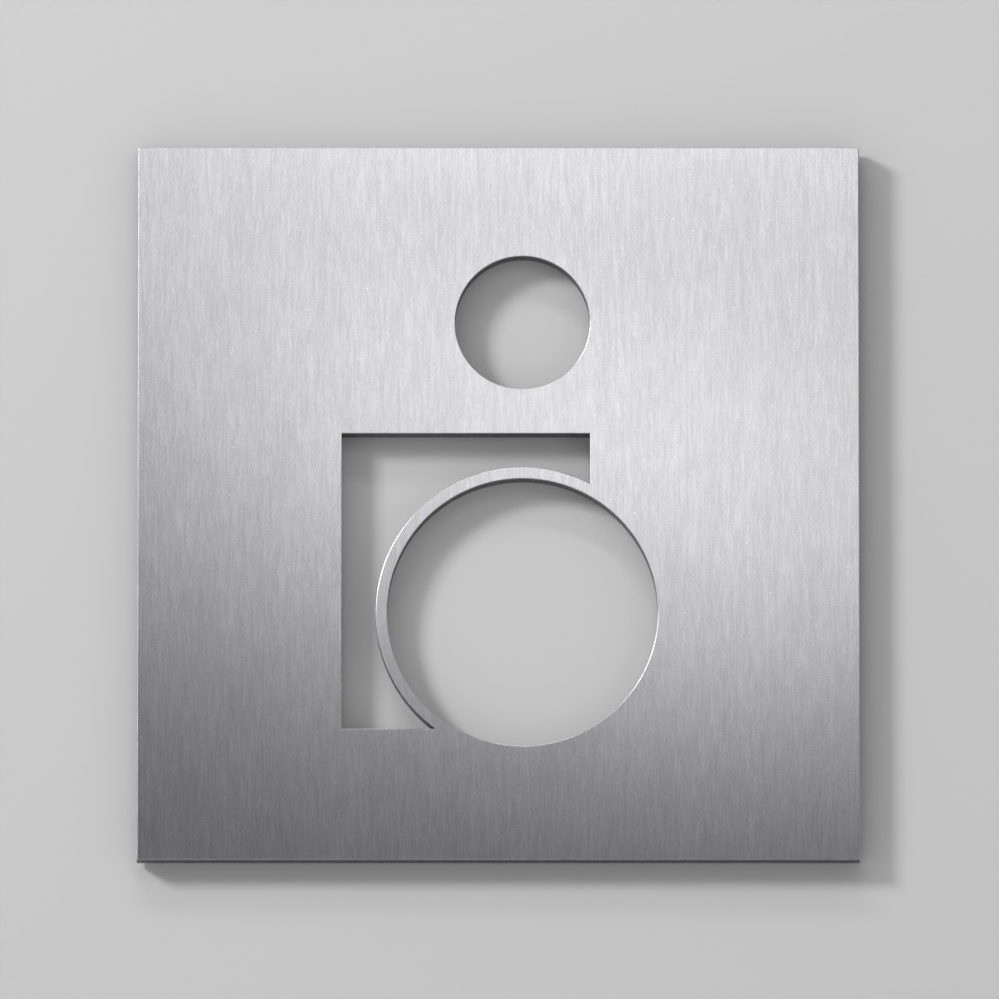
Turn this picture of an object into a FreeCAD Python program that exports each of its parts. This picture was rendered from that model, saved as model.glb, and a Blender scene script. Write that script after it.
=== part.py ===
"""Accessible toilet sign: a thick square steel plate with the wheelchair figure cut right through it.

The plate stands upright in the XZ plane. Its front looks along -Y, and it is held to the wall, the plane
y = 0, by two strips of double-sided foam tape. The origin is on the wall plane, behind the plate's centre.
Lengths are in millimetres.
"""
import FreeCAD, Part
import os
import Sketcher
from FreeCAD import Vector

# The driving dimensions: alias, value and what it is. Offsets and heights are from the plate's centre.
DIMENSIONS = [
    ("plate_side", 150.0, "side of the square plate"),
    ("plate_thickness", 5.0, "thickness of the plate"),
    ("edge_break", 0.1, "width of the fine chamfer along each cut edge"),
    ("figure_offset", 5.0, "offset of the head and the wheel to the right"),
    ("head_height", 38.0, "height of the head's centre"),
    ("head_radius", 14.0, "radius of the head"),
    ("wheel_height", -23.0, "height of the wheel's centre"),
    ("wheel_radius", 28.1, "radius of the wheel"),
    ("rim_width", 2.4, "width of the thin rim that stands between the wheel and the body"),
    ("body_left", -32.5, "offset of the body's back edge"),
    ("body_top", 14.6, "height of the body's top edge"),
    ("body_bottom", -47.5, "height of the body's bottom edge"),
    ("tape_width", 19.0, "width of a tape strip"),
    ("tape_length", 120.0, "length of a tape strip"),
    ("tape_thickness", 1.1, "thickness of the tape, which is the gap behind the plate"),
    ("tape_inset", 8.0, "distance from the plate's side edge to the strip"),
    ("tape_corner", 1.5, "radius of a strip's corners"),
]

# What a dimension can take hold of on a line or an arc, and the outline's own origin.
START, END, CENTRE = 1, 2, 3
ORIGIN = (-1, 1)

# Two lengths closer than this are the same.
SAME = 1e-6


def add_sizes(doc):
    """The sheet of driving dimensions: a note and a number in each row."""
    sheet = doc.addObject("Spreadsheet::Sheet", "Sizes")
    for row, (alias, value, note) in enumerate(DIMENSIONS, start=1):
        sheet.set(f"A{row}", note)
        sheet.set(f"B{row}", str(value))
        sheet.setAlias(f"B{row}", alias)
    doc.recompute()
    return sheet


def add_body(doc, label):
    """An empty body, named as the piece that it becomes."""
    body = doc.addObject("PartDesign::Body", label)
    body.Label = label
    return body


def add_sketch(body, name):
    """An outline on the body's upright plane: its x runs along +X, its y along +Z and its normal along -Y."""
    upright = next(plane for plane in body.Origin.OriginFeatures if plane.Role == "XZ_Plane")
    sketch = body.newObject("Sketcher::SketchObject", name)
    sketch.AttachmentSupport = [(upright, "")]
    sketch.MapMode = "FlatFace"
    return sketch


def add_lines(sketch, points):
    """Straight lines from each point to the next, joined end to start. Returns their numbers."""
    lines = [sketch.addGeometry(Part.LineSegment(a, b), False) for a, b in zip(points, points[1:])]
    for line, following in zip(lines, lines[1:]):
        sketch.addConstraint(Sketcher.Constraint("Coincident", line, END, following, START))
    return lines


def square_up(sketch, level, upright):
    """Keeps some lines level and the others upright."""
    for line in level:
        sketch.addConstraint(Sketcher.Constraint("Horizontal", line))
    for line in upright:
        sketch.addConstraint(Sketcher.Constraint("Vertical", line))


def drive(sketch, name, formula, value, kind, *ends):
    """Adds a named dimension between the ends. Its value is where it starts, and the sheet drives it."""
    index = sketch.addConstraint(Sketcher.Constraint(kind, *ends, value))
    sketch.renameConstraint(index, name)
    sketch.setExpression(f"Constraints.{name}", formula)


def add_rectangle(sketch, sizes, width_alias, height_alias):
    """A rectangle about the outline's origin, drawn against the clock from its lower left corner."""
    width, height = getattr(sizes, width_alias), getattr(sizes, height_alias)
    left, right = -width / 2, width / 2
    low, high = -height / 2, height / 2
    corners = [Vector(left, low), Vector(right, low), Vector(right, high), Vector(left, high)]
    bottom_line, right_line, top_line, left_line = add_lines(sketch, corners + corners[:1])
    sketch.addConstraint(Sketcher.Constraint("Coincident", left_line, END, bottom_line, START))
    square_up(sketch, level=[bottom_line, top_line], upright=[right_line, left_line])
    sketch.addConstraint(Sketcher.Constraint("Symmetric", bottom_line, START, top_line, START, *ORIGIN))
    drive(sketch, "width", f"Sizes.{width_alias}", width, "DistanceX", bottom_line, START, bottom_line, END)
    drive(sketch, "height", f"Sizes.{height_alias}", height, "DistanceY", right_line, START, right_line, END)


def cut_through(body, sketch, name):
    """Cuts an outline through the plate, which lies in front of the outline's plane."""
    body.Document.recompute()
    uncut = body.Shape.Volume
    cut = body.newObject("PartDesign::Pocket", name)
    cut.Profile = sketch
    cut.Reversed = True
    cut.setExpression("Length", "Sizes.plate_thickness")
    body.Document.recompute()
    if body.Shape.Volume > uncut - 1:
        raise RuntimeError(f"{name} took nothing away")
    return cut


def cut_circle(body, sizes, piece):
    """A round opening on the figure's upright axis: the head or the wheel."""
    radius, height = getattr(sizes, f"{piece}_radius"), getattr(sizes, f"{piece}_height")
    offset = sizes.figure_offset
    sketch = add_sketch(body, f"{piece}_outline")
    circle = sketch.addGeometry(Part.Circle(Vector(offset, height), Vector(0, 0, 1), radius), False)
    drive(sketch, "radius", f"Sizes.{piece}_radius", radius, "Radius", circle)
    drive(sketch, "offset", "Sizes.figure_offset", offset, "DistanceX", *ORIGIN, circle, CENTRE)
    drive(sketch, "height", f"Sizes.{piece}_height", height, "DistanceY", *ORIGIN, circle, CENTRE)
    return cut_through(body, sketch, f"{piece}_cut")


def cut_seated_body(body, sizes):
    """The seated body: a square-cornered angle with the wheel's rim swept across it.

    Its back, bottom and top edges are straight, and a short right edge drops from the top corner on the
    tangent of the head's right side. The fourth side is the rim's outer arc, concentric with the wheel. The
    rim that is left standing between this opening and the wheel joins the plate at both of its ends.
    """
    rim = sizes.wheel_radius + sizes.rim_width
    hub = Vector(sizes.figure_offset, sizes.wheel_height)
    left, right = sizes.body_left, sizes.figure_offset + sizes.head_radius
    bottom, top = sizes.body_bottom, sizes.body_top
    # where the rim's outer arc crosses the right edge and the bottom edge
    right_tip = Vector(right, hub.y + (rim**2 - (right - hub.x) ** 2) ** 0.5)
    bottom_tip = Vector(hub.x - (rim**2 - (hub.y - bottom) ** 2) ** 0.5, bottom)
    upper_left_of_rim = hub + Vector(-1, 1).normalize() * rim

    sketch = add_sketch(body, "body_outline")
    corners = [right_tip, Vector(right, top), Vector(left, top), Vector(left, bottom), bottom_tip]
    right_edge, top_edge, back_edge, bottom_edge = add_lines(sketch, corners)
    arc = sketch.addGeometry(Part.Arc(right_tip, upper_left_of_rim, bottom_tip), False)
    sketch.addConstraint(Sketcher.Constraint("Coincident", arc, START, right_edge, START))
    sketch.addConstraint(Sketcher.Constraint("Coincident", arc, END, bottom_edge, END))
    square_up(sketch, level=[top_edge, bottom_edge], upright=[right_edge, back_edge])

    drive(sketch, "rim", "Sizes.wheel_radius + Sizes.rim_width", rim, "Radius", arc)
    for name, formula, value, kind, end in [
        ("hub_offset", "Sizes.figure_offset", hub.x, "DistanceX", (arc, CENTRE)),
        ("hub_height", "Sizes.wheel_height", hub.y, "DistanceY", (arc, CENTRE)),
        ("right", "Sizes.figure_offset + Sizes.head_radius", right, "DistanceX", (top_edge, START)),
        ("top", "Sizes.body_top", top, "DistanceY", (top_edge, START)),
        ("left", "Sizes.body_left", left, "DistanceX", (back_edge, END)),
        ("bottom", "Sizes.body_bottom", bottom, "DistanceY", (back_edge, END)),
    ]:
        drive(sketch, name, formula, value, kind, *ORIGIN, *end)
    return cut_through(body, sketch, "body_cut")


def edge_names(shape, chosen):
    """The names of a shape's edges for which chosen says yes."""
    return [f"Edge{number}" for number, edge in enumerate(shape.Edges, start=1) if chosen(edge.BoundBox)]


def add_sign_plate(doc, sizes):
    """The steel plate: a square slab, the figure's three cuts, and a fine break along every cut edge."""
    body = add_body(doc, "sign_plate")
    body.setExpression("Placement.Base.y", "-Sizes.tape_thickness")
    doc.recompute()

    outline = add_sketch(body, "plate_outline")
    add_rectangle(outline, sizes, "plate_side", "plate_side")
    slab = body.newObject("PartDesign::Pad", "slab")
    slab.Profile = outline
    slab.setExpression("Length", "Sizes.plate_thickness")

    cut_circle(body, sizes, "head")
    cut_circle(body, sizes, "wheel")
    figure = cut_seated_body(body, sizes)

    def on_front_or_back(box):
        flat = box.YLength < SAME
        return flat and (abs(box.YMax) < SAME or abs(box.YMin + sizes.plate_thickness) < SAME)

    breaks = body.newObject("PartDesign::Chamfer", "edge_breaks")
    breaks.Base = (figure, edge_names(figure.Shape, on_front_or_back))
    breaks.setExpression("Size", "Sizes.edge_break")
    return body


def add_tape(doc, sizes, label, sign):
    """One strip of foam tape, upright beside a side edge of the plate, between the plate and the wall."""
    body = add_body(doc, label)
    middle = "(Sizes.plate_side / 2 - Sizes.tape_inset - Sizes.tape_width / 2)"
    body.setExpression("Placement.Base.x", f"{sign} * {middle}")
    doc.recompute()

    outline = add_sketch(body, f"{label}_outline")
    add_rectangle(outline, sizes, "tape_width", "tape_length")
    foam = body.newObject("PartDesign::Pad", f"{label}_foam")
    foam.Profile = outline
    foam.setExpression("Length", "Sizes.tape_thickness")
    doc.recompute()

    def across_the_strip(box):
        return abs(box.YLength - sizes.tape_thickness) < SAME

    corners = body.newObject("PartDesign::Fillet", f"{label}_corners")
    corners.Base = (foam, edge_names(foam.Shape, across_the_strip))
    corners.setExpression("Radius", "Sizes.tape_corner")
    return body


def check(doc, bodies):
    """Stops if a feature failed, or if a piece isn't one sound solid."""
    for item in doc.Objects:
        if "Invalid" in item.State or "Error" in item.State:
            raise RuntimeError(f"{item.Label} failed: {item.State}")
    for body in bodies:
        if body.Shape.isNull() or not body.Shape.isValid() or len(body.Shape.Solids) != 1:
            raise RuntimeError(f"{body.Label} is not one sound solid")


def main():
    doc = FreeCAD.newDocument("AccessibleToiletSign")
    sizes = add_sizes(doc)
    bodies = [
        add_sign_plate(doc, sizes),
        add_tape(doc, sizes, "mounting_tape_left", -1),
        add_tape(doc, sizes, "mounting_tape_right", 1),
    ]
    doc.recompute()
    check(doc, bodies)

    os.makedirs("parts", exist_ok=True)
    for body in bodies:
        body.Shape.exportStep(f"parts/{body.Label}.step")
        box = body.Shape.BoundBox
        print(
            f"{body.Label}: x {box.XMin:.2f} to {box.XMax:.2f}, y {box.YMin:.2f} to {box.YMax:.2f}, "
            f"z {box.ZMin:.2f} to {box.ZMax:.2f}, volume {body.Shape.Volume:.0f}"
        )


main()
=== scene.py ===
"""The accessible toilet sign as a finished piece: brushed steel on two strips of foam tape.

Metres, in the part's own frame: the wall is the plane y = 0, the sign's front looks along -Y,
and the origin is on the wall behind the plate's centre.
"""

import math

import bpy
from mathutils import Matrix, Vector


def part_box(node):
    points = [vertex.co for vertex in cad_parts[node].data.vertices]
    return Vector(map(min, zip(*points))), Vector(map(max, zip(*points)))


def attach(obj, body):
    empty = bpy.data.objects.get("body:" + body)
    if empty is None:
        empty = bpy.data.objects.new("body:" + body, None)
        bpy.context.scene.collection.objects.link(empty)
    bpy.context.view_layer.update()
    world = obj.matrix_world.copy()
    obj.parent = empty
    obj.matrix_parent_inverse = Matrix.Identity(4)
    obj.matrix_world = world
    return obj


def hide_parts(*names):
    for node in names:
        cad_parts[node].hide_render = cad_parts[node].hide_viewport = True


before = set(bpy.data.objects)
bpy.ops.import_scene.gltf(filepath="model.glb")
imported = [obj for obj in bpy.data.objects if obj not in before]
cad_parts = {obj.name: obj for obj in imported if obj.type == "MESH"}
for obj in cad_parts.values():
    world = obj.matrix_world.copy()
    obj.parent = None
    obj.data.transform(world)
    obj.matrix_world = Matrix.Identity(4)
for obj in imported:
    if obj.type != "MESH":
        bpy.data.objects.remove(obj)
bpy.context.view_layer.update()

PLATE_LOW, PLATE_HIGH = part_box("sign_plate")

# The figure, from the plate's centre.
FIGURE_X = 0.005
HEAD_Z, HEAD_RADIUS = 0.038, 0.014
WHEEL_Z, WHEEL_RADIUS = -0.023, 0.0281
RIM_WIDTH = 0.0024
BODY_LEFT, BODY_RIGHT = -0.0325, FIGURE_X + HEAD_RADIUS
BODY_BOTTOM, BODY_TOP = -0.0475, 0.0146
ROUND_STEPS = 360

# The broken edges of the plate: their width, and the rows of faces in them.
EDGE_BREAK = 0.00015
EDGE_ROWS = 2

# Foam tape: the corners' radius and steps, the layers that its edge is divided into, and how far
# the foam's waist stands out past its two glued faces.
TAPE_CORNER = 0.0015
TAPE_CORNER_STEPS = 8
TAPE_LAYERS = 6
TAPE_BULGE = 0.00012

# Faces that meet at less than these angles are shaded as one.
PLATE_SMOOTH = math.radians(20)
TAPE_SMOOTH = math.radians(40)

# A face's normal along Y: more than FLAT is a front or a back, less than UPRIGHT is a wall.
FLAT = 0.99
UPRIGHT = 0.05

# Two places closer than this are the same.
SAME = 1e-6

# Colours.
FACE_STEEL = (0.570, 0.568, 0.596)
BACK_STEEL = (0.52, 0.52, 0.53)
# The cut walls: the cut steel's own darker tone, darkened further as painted shade.
CUT_STEEL_AND_SHADE = (0.16, 0.16, 0.166)
EDGE_STEEL = (0.37, 0.37, 0.378)
TAPE_BLACK = (0.085, 0.085, 0.089)
# The near white of the painted glints.
GLINT_GREY = 0.95
CARD_GREY = 0.02

# The steel's grain: the width, length and weight of each layer of streaks. The ridges are raised
# too. The stains, which are pits, streaks and clouds, only change the shade.
GRAIN_RIDGES = ((0.00014, 0.0028, 0.75), (0.0003, 0.008, 0.6))
GRAIN_STAINS = ((0.00014, 0.00025, 0.9), (0.0012, 0.006, 0.3), (0.004, 0.02, 0.25))

# The darkest shade in the steel's grain, which is more bright than dark.
GRAIN_DARKEST = 0.88

# Painted glints, small bright specks put into the steel's colour: how far apart their places lie,
# their size, the share of places that has one, and how strongly they show.
GLINT_SPACING = 0.004
GLINT_SIZE = 0.0002
GLINT_SHARE = 0.25
GLINT_STRENGTH = 0.8

# The grooves that run through the cut walls: the size of each layer along X, Y and Z, its weight,
# and how much of their depth they have at the plate's front and at its back.
CUT_GROOVES = (((0.0003, 0.012, 0.0003), 1.0), ((0.0012, 0.03, 0.0012), 0.7))
GROOVES_FRONT, GROOVES_BACK = 0.25, 1.0

# The frost on the cut walls, as a share of the grooves' height, and how much the two change the
# shade.
FROST_HEIGHT = 0.4
CUT_CONTRAST = 0.7

# Mottle: the share of the spots' number in each layer, and its weight.
MOTTLE_LAYERS = ((1.0, 1.0), (0.15, 0.6))

# The foam's closed cells: their size, the shade in the middle of one, and its rise towards the rim.
FOAM_CELL = 0.00022
CELL_MIDDLE, CELL_RISE = 0.6, 0.9

# The view: the width of the photograph's frame on the plate, and the camera that gives it, with
# its lens and sensor in millimetres.
PICTURE_WIDTH = 0.20756
CAMERA_ELEVATION = math.radians(-9.5)
AIM = Vector((0.00022, PLATE_LOW.y, 0.00069))
LENS = 1000.0
SENSOR = 36.0

# The studio.
WALL_GREY = 0.515
WALL_SIZE = 3
WALL_GAP = 0.0001
FLOOR_GREY = 0.8
FLOOR_SIZE = 16
FLOOR_Z = -1.0
ROOM_GREY = 0.5
CARD_PLACE = (0, -2.4, 0.45)
CARD_SIZE = (3.5, 1.4)
CARD_STEPS = 64

# The lamps: name, place, width, height, watts, turn about the lamp's own axis, and colour.
WHITE = (1.0, 1.0, 1.0)
WARM = (1.0, 0.995, 0.972)
LAMPS = (
    ("key_lamp", (-1.64, -1.324, 0.958), 0.48, 0.48, 38, 0.0, WHITE),
    ("soft_box", (0.015, -0.41, 0.138), 0.379, 0.118, 0.124, -0.173, WARM),
    ("low_box", (0.024, -0.4, 0.063), 0.146, 0.071, 0.0537, -0.445, WHITE),
    ("high_box", (0.041, -0.42, 0.188), 0.243, 0.032, 0.077, 0.0, WARM),
    ("top_strip", (-0.16, -0.53, 0.81), 0.62, 0.08, 2.0, 0.0, WHITE),
    ("left_panel", (-0.9, -0.9, -0.2), 0.6, 0.7, 0.75, 0.0, WHITE),
    ("right_panel", (0.9, -0.9, -0.2), 0.6, 0.7, 0.75, 0.0, WHITE),
    ("rear_left_panel", (-0.5, 0.34, -0.16), 0.22, 0.35, 0.45, 0.0, WHITE),
    ("rear_right_panel", (0.5, 0.36, -0.16), 0.22, 0.35, 0.4, 0.0, WHITE),
)


def deselect_all():
    bpy.ops.object.select_all(action="DESELECT")


def only(piece):
    """Makes the piece the only selected object, and the active one."""
    deselect_all()
    piece.select_set(True)
    bpy.context.view_layer.objects.active = piece


def add_block(name, low, high):
    """A box between two corners, with its place in its mesh."""
    low, high = Vector(low), Vector(high)
    deselect_all()
    bpy.ops.mesh.primitive_cube_add(size=1, location=(low + high) / 2, scale=high - low)
    block = bpy.context.object
    block.name = block.data.name = name
    bpy.ops.object.transform_apply(location=True, rotation=True, scale=True)
    return block


def add_drum(name, x, z, radius, y_low, y_high):
    """A cylinder that lies along Y, with its place in its mesh."""
    deselect_all()
    bpy.ops.mesh.primitive_cylinder_add(
        vertices=ROUND_STEPS,
        radius=radius,
        depth=y_high - y_low,
        location=(x, (y_low + y_high) / 2, z),
        rotation=(math.pi / 2, 0, 0),
    )
    drum = bpy.context.object
    drum.name = drum.data.name = name
    bpy.ops.object.transform_apply(location=True, rotation=True, scale=True)
    return drum


def cut(piece, cutter):
    """Takes the cutter's volume out of the piece, and removes the cutter."""
    only(piece)
    modifier = piece.modifiers.new("cut", "BOOLEAN")
    modifier.operation = "DIFFERENCE"
    modifier.solver = "EXACT"
    modifier.object = cutter
    bpy.ops.object.modifier_apply(modifier=modifier.name)
    bpy.data.objects.remove(cutter, do_unlink=True)


def select_edges(piece, wanted):
    """Enters edit mode, and selects the edges for which wanted(edge, its two ends) is true."""
    only(piece)
    bpy.ops.object.mode_set(mode="EDIT")
    bpy.ops.mesh.select_mode(type="EDGE")
    bpy.ops.mesh.select_all(action="DESELECT")
    bpy.ops.object.mode_set(mode="OBJECT")
    mesh = piece.data
    for edge in mesh.edges:
        start, end = (mesh.vertices[v].co for v in edge.vertices)
        edge.select = wanted(edge, start, end)
    bpy.ops.object.mode_set(mode="EDIT")


def add_plate():
    """The steel plate: a slab with the figure cut through it, and its edges broken."""
    front, back = PLATE_LOW.y, PLATE_HIGH.y
    clear = (back - front) / 2
    near, far = front - clear, back + clear
    plate = add_block("steel_plate", PLATE_LOW, PLATE_HIGH)
    cut(plate, add_drum("head", FIGURE_X, HEAD_Z, HEAD_RADIUS, near, far))
    cut(plate, add_drum("wheel", FIGURE_X, WHEEL_Z, WHEEL_RADIUS, near, far))

    # cut the seated body, which is a rectangle without the disc of the wheel and its rim
    body = add_block("body", (BODY_LEFT, near, BODY_BOTTOM), (BODY_RIGHT, far, BODY_TOP))
    rim = WHEEL_RADIUS + RIM_WIDTH
    cut(body, add_drum("rim", FIGURE_X, WHEEL_Z, rim, near - clear, far + clear))
    cut(plate, body)

    # break every edge between a wall and the front or the back
    mesh = plate.data
    walls = {}
    for face in mesh.polygons:
        for key in face.edge_keys:
            walls.setdefault(key, []).append(abs(face.normal.y) < UPRIGHT)

    def borders_a_wall(edge, start, end):
        return len(set(walls[tuple(sorted(edge.vertices))])) == 2

    select_edges(plate, borders_a_wall)
    bpy.ops.mesh.bevel(
        offset=EDGE_BREAK,
        segments=EDGE_ROWS,
        affect="EDGES",
        clamp_overlap=False,
        loop_slide=False,
    )
    bpy.ops.object.mode_set(mode="OBJECT")
    bpy.ops.object.shade_smooth_by_angle(angle=PLATE_SMOOTH)
    for face in plate.data.polygons:
        if abs(face.normal.y) > FLAT:
            face.use_smooth = False
    lay_grain(plate)
    return plate


def lay_grain(plate):
    """A UV map whose u runs along X on the faces, which gives the steel's gloss its direction."""
    grain = plate.data.uv_layers.new(name="grain")
    side = PLATE_HIGH.x - PLATE_LOW.x
    for loop in plate.data.loops:
        place = plate.data.vertices[loop.vertex_index].co
        grain.data[loop.index].uv = (place.x / side + 0.5, place.z / side + 0.5)


def add_tape(node):
    """One strip of foam tape, with round corners and a waist that bulges a little."""
    low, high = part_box(node)
    tape = add_block(node.replace("mounting", "foam"), low, high)

    def across(edge, start, end):
        return abs(start.x - end.x) < SAME and abs(start.z - end.z) < SAME

    select_edges(tape, across)
    bpy.ops.mesh.bevel(offset=TAPE_CORNER, segments=TAPE_CORNER_STEPS, affect="EDGES")
    for layer in range(1, TAPE_LAYERS):
        bpy.ops.mesh.select_all(action="SELECT")
        height = low.y + (high.y - low.y) * layer / TAPE_LAYERS
        bpy.ops.mesh.bisect(plane_co=(0, height, 0), plane_no=(0, 1, 0))
    bpy.ops.object.mode_set(mode="OBJECT")

    # draw the outline in towards both glued faces, so that the waist stands out
    middle = (low + high) / 2
    half = (high - low) / 2
    for vertex in tape.data.vertices:
        towards_face = abs(vertex.co.y - middle.y) / half.y
        inwards = TAPE_BULGE * towards_face**2
        for axis in (0, 2):
            offset = vertex.co[axis] - middle[axis]
            vertex.co[axis] = middle[axis] + offset * (1 - inwards / half[axis])
    only(tape)
    bpy.ops.object.shade_smooth_by_angle(angle=TAPE_SMOOTH)
    return tape


def new_material(name):
    """A material with its Principled shader, and the tree that they are in."""
    material = bpy.data.materials.new(name)
    material.use_nodes = True
    tree = material.node_tree
    return material, tree, tree.nodes["Principled BSDF"]


def new_steel(name):
    """A metal material, as new_material gives it."""
    material, tree, steel = new_material(name)
    steel.inputs["Metallic"].default_value = 1.0
    return material, tree, steel


def add_node(tree, kind, **settings):
    """A node with its settings. A setting that names an input is that input's value."""
    node = tree.nodes.new(kind)
    for name, value in settings.items():
        if hasattr(node, name):
            setattr(node, name, value)
        else:
            node.inputs[name.replace("_", " ")].default_value = value
    return node


def blobs(tree, coordinates, size):
    """Noise whose blobs are about this large along X, Y and Z. Returns its socket, 0 to 1."""
    stretch = add_node(tree, "ShaderNodeMapping", Scale=tuple(1 / length for length in size))
    noise = add_node(tree, "ShaderNodeTexNoise", Scale=1.0, Detail=1.0, Roughness=0.5)
    tree.links.new(coordinates, stretch.inputs["Vector"])
    tree.links.new(stretch.outputs["Vector"], noise.inputs["Vector"])
    return noise.outputs["Fac"]


def calculate(tree, operation, first, second, third=None):
    """A Math node on sockets or numbers. Returns its result's socket."""
    node = tree.nodes.new("ShaderNodeMath")
    node.operation = operation
    for socket, value in zip(node.inputs, (first, second, third)):
        if isinstance(value, bpy.types.NodeSocket):
            tree.links.new(value, socket)
        elif value is not None:
            socket.default_value = value
    return node.outputs[0]


def mix_layers(tree, coordinates, layers):
    """Adds up layers of noise, each a size and a weight, about a mean of 0."""
    total = -sum(weight for _, weight in layers) / 2
    for size, weight in layers:
        total = calculate(tree, "MULTIPLY_ADD", blobs(tree, coordinates, size), weight, total)
    return total


def upright(layers):
    """The sizes and weights of layers of streaks that run along Z."""
    return [((width, width, length), weight) for width, length, weight in layers]


def new_group(name, inputs, outputs):
    """A node group with number sockets.

    Returns its tree, what it is given, what it puts out, and the place on the piece.
    """
    tree = bpy.data.node_groups.new(name, "ShaderNodeTree")
    for socket in inputs:
        tree.interface.new_socket(socket, in_out="INPUT", socket_type="NodeSocketFloat")
    for socket in outputs:
        tree.interface.new_socket(socket, in_out="OUTPUT", socket_type="NodeSocketFloat")
    given = tree.nodes.new("NodeGroupInput").outputs
    result = tree.nodes.new("NodeGroupOutput").inputs
    return tree, given, result, tree.nodes.new("ShaderNodeTexCoord").outputs["Object"]


def make_brushed_grain():
    """The grain that a fine abrasive belt leaves, upright streaks and pits, with painted glints.

    Shade multiplies a colour, Height is for a bump, and the third output is 1 on the few painted
    glints, small bright specks that stand for glints.
    """
    tree, given, result, place = new_group(
        "brushed grain", ["Contrast"], ["Shade", "Height", "Glints"]
    )
    ridges = mix_layers(tree, place, upright(GRAIN_RIDGES))
    stains = mix_layers(tree, place, upright(GRAIN_STAINS))
    both = calculate(tree, "ADD", ridges, stains)
    shade = calculate(tree, "MULTIPLY_ADD", both, given["Contrast"], 1.0)
    tree.links.new(calculate(tree, "MAXIMUM", shade, GRAIN_DARKEST), result["Shade"])
    tree.links.new(ridges, result["Height"])

    # spread flat cells over the plate's plane, of which some hold a painted glint
    lie_flat = add_node(tree, "ShaderNodeMapping", Rotation=(math.pi / 2, 0, 0))
    cells = add_node(
        tree, "ShaderNodeTexVoronoi", voronoi_dimensions="2D", Scale=1 / GLINT_SPACING
    )
    tree.links.new(place, lie_flat.inputs["Vector"])
    tree.links.new(lie_flat.outputs["Vector"], cells.inputs["Vector"])
    reach = GLINT_SIZE / 2 / GLINT_SPACING
    near = calculate(tree, "LESS_THAN", cells.outputs["Distance"], reach)
    chance = tree.nodes.new("ShaderNodeSeparateColor")
    tree.links.new(cells.outputs["Color"], chance.inputs["Color"])
    chosen = calculate(tree, "LESS_THAN", chance.outputs["Red"], GLINT_SHARE)
    tree.links.new(calculate(tree, "MULTIPLY", near, chosen), result["Glints"])
    return tree


def make_mottle():
    """Uneven spots in two sizes, as on frosted, rolled, filed and rubbery surfaces.

    Spots is their number to the metre, Shade multiplies a colour, and Height is for a bump.
    """
    tree, given, result, place = new_group("mottle", ["Spots", "Contrast"], ["Shade", "Height"])
    total = -sum(weight for _, weight in MOTTLE_LAYERS) / 2
    for share, weight in MOTTLE_LAYERS:
        noise = add_node(tree, "ShaderNodeTexNoise", Detail=1.5, Roughness=0.5)
        tree.links.new(place, noise.inputs["Vector"])
        tree.links.new(calculate(tree, "MULTIPLY", given["Spots"], share), noise.inputs["Scale"])
        total = calculate(tree, "MULTIPLY_ADD", noise.outputs["Fac"], weight, total)
    shade = calculate(tree, "MULTIPLY_ADD", total, given["Contrast"], 1.0)
    tree.links.new(shade, result["Shade"])
    tree.links.new(total, result["Height"])
    return tree


def use_group(tree, group, **values):
    """Places a node group with its inputs' values. Returns its outputs."""
    return add_node(tree, "ShaderNodeGroup", node_tree=group, **values).outputs


def tinted(tree, colour, shade):
    """A colour multiplied by a shade's socket. Returns the result's socket."""
    tint = add_node(tree, "ShaderNodeMix", data_type="RGBA", blend_type="MULTIPLY")
    tint.inputs["Factor"].default_value = 1.0
    tint.inputs["A"].default_value = (*colour, 1)
    tree.links.new(shade, tint.inputs["B"])
    return tint.outputs["Result"]


def vary_roughness(tree, shader, pattern, change, base):
    """Gives a shader a roughness of base, plus change times a pattern's socket."""
    rough = calculate(tree, "MULTIPLY_ADD", pattern, change, base)
    tree.links.new(rough, shader.inputs["Roughness"])


def raise_bump(tree, shader, height, distance):
    """Gives a shader a bump from a height's socket, of this many metres for a height of 1."""
    bump = add_node(tree, "ShaderNodeBump", Strength=1.0, Distance=distance)
    tree.links.new(height, bump.inputs["Height"])
    tree.links.new(bump.outputs["Normal"], shader.inputs["Normal"])


def make_face_steel(grain):
    """The brushed face of the plate."""
    material, tree, steel = new_steel("brushed steel face")
    steel.inputs["Anisotropic"].default_value = 0.65
    pattern = use_group(tree, grain, Contrast=0.5)
    # the painted glints: a few specks of the colour are made near white
    glinted = add_node(tree, "ShaderNodeMix", data_type="RGBA")
    glinted.inputs["B"].default_value = (GLINT_GREY, GLINT_GREY, GLINT_GREY, 1)
    strength = calculate(tree, "MULTIPLY", pattern["Glints"], GLINT_STRENGTH)
    tree.links.new(strength, glinted.inputs["Factor"])
    tree.links.new(tinted(tree, FACE_STEEL, pattern["Shade"]), glinted.inputs["A"])
    tree.links.new(glinted.outputs["Result"], steel.inputs["Base Color"])
    vary_roughness(tree, steel, pattern["Shade"], change=0.03, base=0.248)
    raise_bump(tree, steel, pattern["Height"], distance=0.000007)
    across = add_node(tree, "ShaderNodeTangent", direction_type="UV_MAP", uv_map="grain")
    tree.links.new(across.outputs["Tangent"], steel.inputs["Tangent"])
    return material


def make_back_steel(grain, mottle):
    """The sheet's other side, as the mill left it: dull, with a faint grain and cloudy spots."""
    material, tree, steel = new_steel("mill steel back")
    pattern = use_group(tree, grain, Contrast=0.3)
    clouds = use_group(tree, mottle, Spots=900.0, Contrast=0.2)
    shade = calculate(tree, "MULTIPLY", pattern["Shade"], clouds["Shade"])
    tree.links.new(tinted(tree, BACK_STEEL, shade), steel.inputs["Base Color"])
    vary_roughness(tree, steel, clouds["Height"], change=0.12, base=0.38)
    raise_bump(tree, steel, clouds["Height"], distance=0.00001)
    return material


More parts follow.
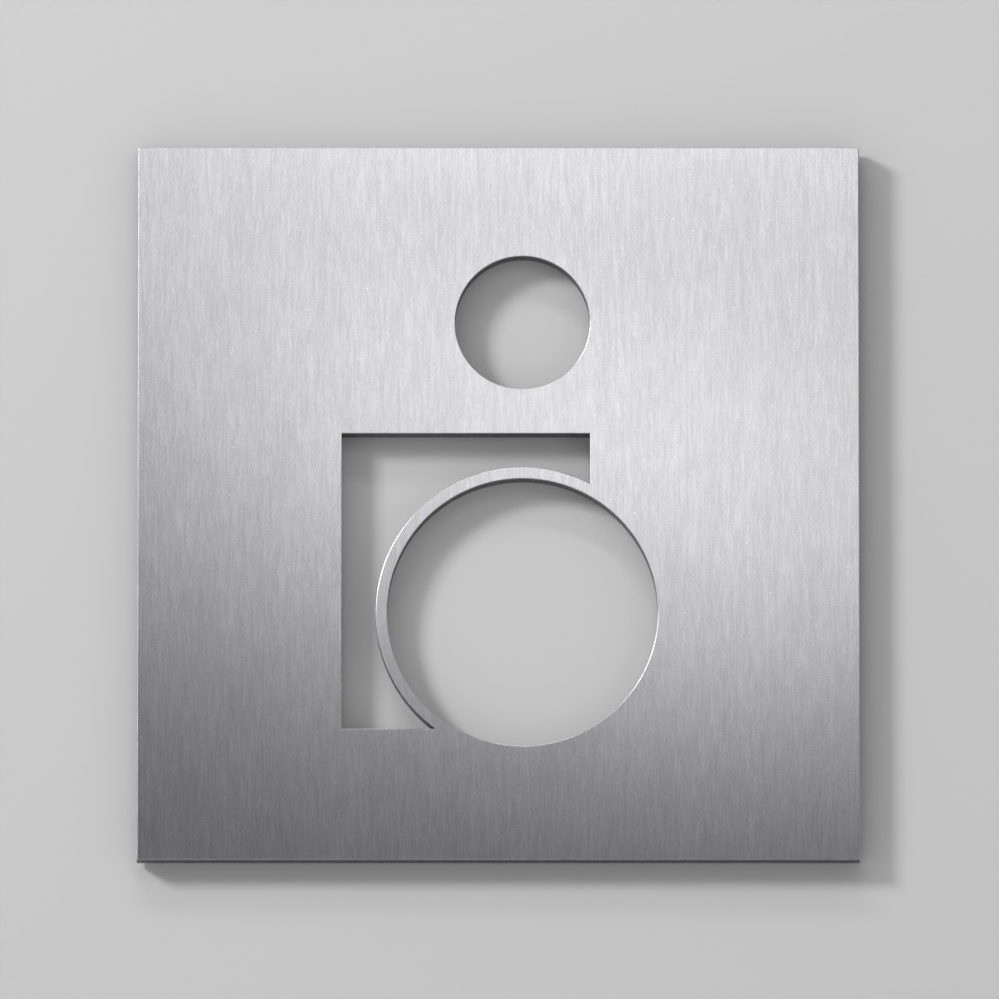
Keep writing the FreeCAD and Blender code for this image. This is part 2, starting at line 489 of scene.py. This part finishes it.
def make_cut_steel(mottle):
    """The walls that the cutting jet left: frosted, and grooved more deeply towards the back."""
    material, tree, steel = new_steel("cut steel wall")
    place = tree.nodes.new("ShaderNodeTexCoord").outputs["Object"]
    grooves = mix_layers(tree, place, CUT_GROOVES)
    apart = tree.nodes.new("ShaderNodeSeparateXYZ")
    tree.links.new(place, apart.inputs["Vector"])
    depth = tree.nodes.new("ShaderNodeMapRange")
    for name, value in (
        ("From Min", PLATE_LOW.y),
        ("From Max", PLATE_HIGH.y),
        ("To Min", GROOVES_FRONT),
        ("To Max", GROOVES_BACK),
    ):
        depth.inputs[name].default_value = value
    tree.links.new(apart.outputs["Y"], depth.inputs["Value"])
    deepening = calculate(tree, "MULTIPLY", grooves, depth.outputs["Result"])
    frost = use_group(tree, mottle, Spots=7000.0, Contrast=0.5)
    height = calculate(tree, "MULTIPLY_ADD", frost["Height"], FROST_HEIGHT, deepening)
    shade = calculate(tree, "MULTIPLY_ADD", height, CUT_CONTRAST, 1.0)
    # the cut steel's own darker tone, darkened further as painted shade
    tree.links.new(tinted(tree, CUT_STEEL_AND_SHADE, shade), steel.inputs["Base Color"])
    vary_roughness(tree, steel, height, change=-0.15, base=0.58)
    raise_bump(tree, steel, height, distance=0.00004)
    return material


def make_edge_steel(mottle):
    """The fine broken edges that a file left: bright, and a little uneven along their length."""
    material, tree, steel = new_steel("broken steel edge")
    wear = use_group(tree, mottle, Spots=2600.0, Contrast=0.9)
    tree.links.new(tinted(tree, EDGE_STEEL, wear["Shade"]), steel.inputs["Base Color"])
    vary_roughness(tree, steel, wear["Height"], change=-0.15, base=0.33)
    raise_bump(tree, steel, wear["Height"], distance=0.00003)
    return material


def make_foam(mottle):
    """The tape's cut edge: dark acrylic foam with fine closed cells."""
    material, tree, foam = new_material("acrylic foam")
    place = tree.nodes.new("ShaderNodeTexCoord").outputs["Object"]
    cells = add_node(tree, "ShaderNodeTexVoronoi", Scale=1 / FOAM_CELL)
    tree.links.new(place, cells.inputs["Vector"])
    uneven = use_group(tree, mottle, Spots=1500.0, Contrast=0.4)
    rim = cells.outputs["Distance"]
    cell = calculate(tree, "MULTIPLY_ADD", rim, CELL_RISE, CELL_MIDDLE)
    shade = calculate(tree, "MULTIPLY", cell, uneven["Shade"])
    tree.links.new(tinted(tree, TAPE_BLACK, shade), foam.inputs["Base Color"])
    vary_roughness(tree, foam, uneven["Height"], change=0.2, base=0.75)
    raise_bump(tree, foam, rim, distance=0.00008)
    return material


def make_adhesive(mottle):
    """The tape's glued faces: a smooth, tacky skin that has wetted out in patches."""
    material, tree, skin = new_material("adhesive skin")
    skin.inputs["Coat Weight"].default_value = 0.35
    skin.inputs["Coat Roughness"].default_value = 0.12
    patches = use_group(tree, mottle, Spots=1100.0, Contrast=0.5)
    tree.links.new(tinted(tree, TAPE_BLACK, patches["Shade"]), skin.inputs["Base Color"])
    vary_roughness(tree, skin, patches["Height"], change=0.25, base=0.4)
    raise_bump(tree, skin, patches["Height"], distance=0.00002)
    return material


def finish_plate(plate, grain, mottle):
    """Gives each face of the plate its steel, by the way that it looks."""
    for material in (
        make_face_steel(grain),
        make_back_steel(grain, mottle),
        make_cut_steel(mottle),
        make_edge_steel(mottle),
    ):
        plate.data.materials.append(material)
    front, back, wall, edge = range(4)
    for polygon in plate.data.polygons:
        facing = polygon.normal.y
        if abs(facing) > FLAT:
            polygon.material_index = front if facing < 0 else back
        else:
            polygon.material_index = wall if abs(facing) < UPRIGHT else edge


def finish_tape(tape, foam, adhesive):
    """Adhesive on the two glued faces of a strip of tape, and foam round its edge."""
    tape.data.materials.append(foam)
    tape.data.materials.append(adhesive)
    for polygon in tape.data.polygons:
        polygon.material_index = int(abs(polygon.normal.y) > FLAT)


def make_backdrop(name, grey):
    """A plain pale surface, which is there only for what comes from its front.

    What comes from behind passes through it, and then through any other such surface, so that the
    sign's back can be seen and lit.
    """
    material, tree, plain = new_material(name)
    plain.inputs["Base Color"].default_value = (grey, grey, grey, 1)
    plain.inputs["Roughness"].default_value = 1.0
    plain.inputs["Specular IOR Level"].default_value = 0.0
    crossed = tree.nodes.new("ShaderNodeLightPath").outputs["Transparent Depth"]
    behind = tree.nodes.new("ShaderNodeNewGeometry").outputs["Backfacing"]
    from_behind = calculate(tree, "ADD", crossed, behind)
    shown = calculate(tree, "LESS_THAN", from_behind, 0.5)
    clear = tree.nodes.new("ShaderNodeBsdfTransparent")
    mix = tree.nodes.new("ShaderNodeMixShader")
    tree.links.new(shown, mix.inputs["Fac"])
    tree.links.new(clear.outputs["BSDF"], mix.inputs[1])
    tree.links.new(plain.outputs["BSDF"], mix.inputs[2])
    tree.links.new(mix.outputs["Shader"], tree.nodes["Material Output"].inputs["Surface"])
    return material


def add_backdrops():
    """The wall that the sign is fixed to, and the floor far below it."""
    deselect_all()
    bpy.ops.mesh.primitive_plane_add(
        size=WALL_SIZE,
        location=(0, WALL_GAP, FLOOR_Z + WALL_SIZE / 2),
        rotation=(math.pi / 2, 0, 0),
    )
    wall = bpy.context.object
    wall.name = "wall"
    wall.data.materials.append(make_backdrop("pale wall", WALL_GREY))
    deselect_all()
    bpy.ops.mesh.primitive_plane_add(size=FLOOR_SIZE, location=(0, 0, FLOOR_Z))
    floor = bpy.context.object
    floor.name = "floor"
    floor.data.materials.append(make_backdrop("pale floor", FLOOR_GREY))


def add_lamp(name, place, width, height, power, roll, colour):
    """A soft rectangular lamp that looks at the plate, turned about its own axis by roll."""
    deselect_all()
    bpy.ops.object.light_add(type="AREA", location=place)
    lamp = bpy.context.object
    lamp.name = name
    lamp.data.shape = "RECTANGLE"
    lamp.data.size, lamp.data.size_y = width, height
    lamp.data.energy = power
    lamp.data.color = colour
    lamp.visible_camera = False
    lamp.rotation_euler = (-Vector(place)).to_track_quat("-Z", "Y").to_euler()
    lamp.rotation_euler.rotate_axis("Z", roll)


def make_room():
    """The room's even grey."""
    world = bpy.data.worlds.new("studio")
    world.use_nodes = True
    room = world.node_tree.nodes["Background"].inputs
    room["Color"].default_value = (1, 1, 1, 1)
    room["Strength"].default_value = ROOM_GREY
    bpy.context.scene.world = world


def add_card():
    """An oval black card ahead of the sign, which the steel mirrors and no camera sees."""
    deselect_all()
    bpy.ops.mesh.primitive_circle_add(
        vertices=CARD_STEPS,
        radius=0.5,
        fill_type="NGON",
        location=CARD_PLACE,
        rotation=(-math.pi / 2, 0, 0),
    )
    card = bpy.context.object
    card.name = "black_card"
    card.scale = (*CARD_SIZE, 1)
    bpy.ops.object.transform_apply(location=False, rotation=False, scale=True)
    card.visible_camera = False
    material, _, black = new_material("black card")
    black.inputs["Base Color"].default_value = (CARD_GREY, CARD_GREY, CARD_GREY, 1)
    black.inputs["Roughness"].default_value = 1.0
    card.data.materials.append(material)


def light_studio():
    """The lamps, the room and the card.

    A compact key lamp at the upper left throws the shadows, three boxes ahead show in the steel,
    and a strip above catches the top edges. Panels at the sides and behind show in the steel when
    the sign is looked at from there.
    """
    for lamp in LAMPS:
        add_lamp(*lamp)
    make_room()
    add_card()


def add_camera():
    """A long lens below the sign's centre, looking up at it, as in the photograph."""
    distance = PICTURE_WIDTH * LENS / SENSOR
    back = Vector((0, -math.cos(CAMERA_ELEVATION), math.sin(CAMERA_ELEVATION)))
    deselect_all()
    bpy.ops.object.camera_add(location=AIM + back * distance)
    camera = bpy.context.object
    camera.rotation_euler = (-back).to_track_quat("-Z", "Y").to_euler()
    camera.data.lens, camera.data.sensor_width = LENS, SENSOR
    camera.data.clip_start, camera.data.clip_end = 0.1, 3 * distance
    bpy.context.scene.camera = camera


grain = make_brushed_grain()
mottle = make_mottle()

plate = add_plate()
finish_plate(plate, grain, mottle)
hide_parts("sign_plate")
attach(plate, "root")

foam, adhesive = make_foam(mottle), make_adhesive(mottle)
for node in ("mounting_tape_left", "mounting_tape_right"):
    tape = add_tape(node)
    finish_tape(tape, foam, adhesive)
    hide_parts(node)
    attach(tape, "root")

add_backdrops()
light_studio()
add_camera()
bpy.context.scene.view_settings.view_transform = "Standard"
